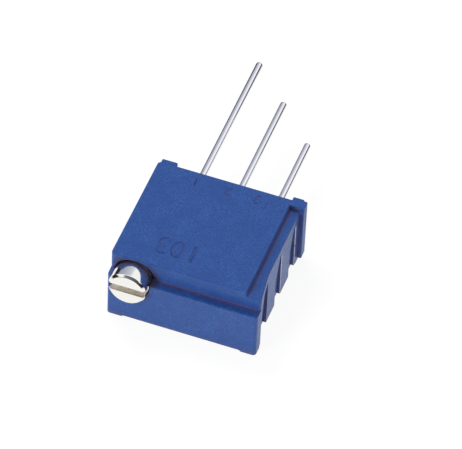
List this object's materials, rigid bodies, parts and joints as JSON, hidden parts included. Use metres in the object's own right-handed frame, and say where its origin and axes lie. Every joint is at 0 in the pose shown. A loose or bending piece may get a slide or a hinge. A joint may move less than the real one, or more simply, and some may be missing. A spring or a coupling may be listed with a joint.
{
  "type": "trimmer potentiometer",
  "caption": "Square multi-turn trimmer potentiometer: moulded case with slotted adjusting screw at one end, worm-driven wiper inside, and in-line round pins at the other.",
  "frame": {"origin": "middle of the back of the housing, on the plane of its corner feet, under the middle pin's axis line", "axes": "+Z out of the marked face, +Y along the pins as they leave the housing, the adjusting screw faces -Y"},
  "size_m": [0.0094, 0.0212, 0.0047],
  "materials": {
    "housing_plastic": "moulded thermoset, satin",
    "seal_epoxy": "cast epoxy",
    "screw_plated_brass": "turned, nickel plated and polished",
    "ring_rubber": "moulded silicone",
    "clip_steel": "stamped",
    "rotor_plastic": "moulded, satin",
    "wiper_alloy": "stamped spring sheet",
    "alumina": "fired ceramic, opaque",
    "cermet": "fired thick film",
    "silver_film": "fired silver conductor",
    "pin_tinned": "round copper-alloy wire, tinned",
    "solder": "solidified solder"
  },
  "bodies": {
    "case": {"housing": "housing_plastic", "back_seal": "seal_epoxy", "screw_clip": "clip_steel", "substrate": "alumina", "resistive_track": "cermet", "collector": "silver_film", "termination_1": "silver_film", "termination_3": "silver_film", "pin_1": "pin_tinned", "pin_2": "pin_tinned", "pin_3": "pin_tinned", "solder_1": "solder", "solder_2": "solder", "solder_3": "solder"},
    "screw": {"adjusting_screw": "screw_plated_brass", "screw_seal_ring": "ring_rubber"},
    "rotor": {"worm_wheel": "rotor_plastic", "wiper": "wiper_alloy"}
  },
  "joints": [
    {"name": "screw_turn", "type": "hinge", "parent": "case", "child": "screw", "pos_m": [-0.0033, 0, 0.00315], "axis": [0, 1, 0], "range_deg": [-3960, 3960]},
    {"name": "rotor_turn", "type": "hinge", "parent": "case", "child": "rotor", "pos_m": [0, 0.00001, 0.00315], "axis": [0, 0, 1], "range_deg": [-141.5, 141.5]}
  ],
  "couplings": [
    {"joint": "rotor_turn", "follows": "screw_turn", "ratio": 0.035714}
  ]
}
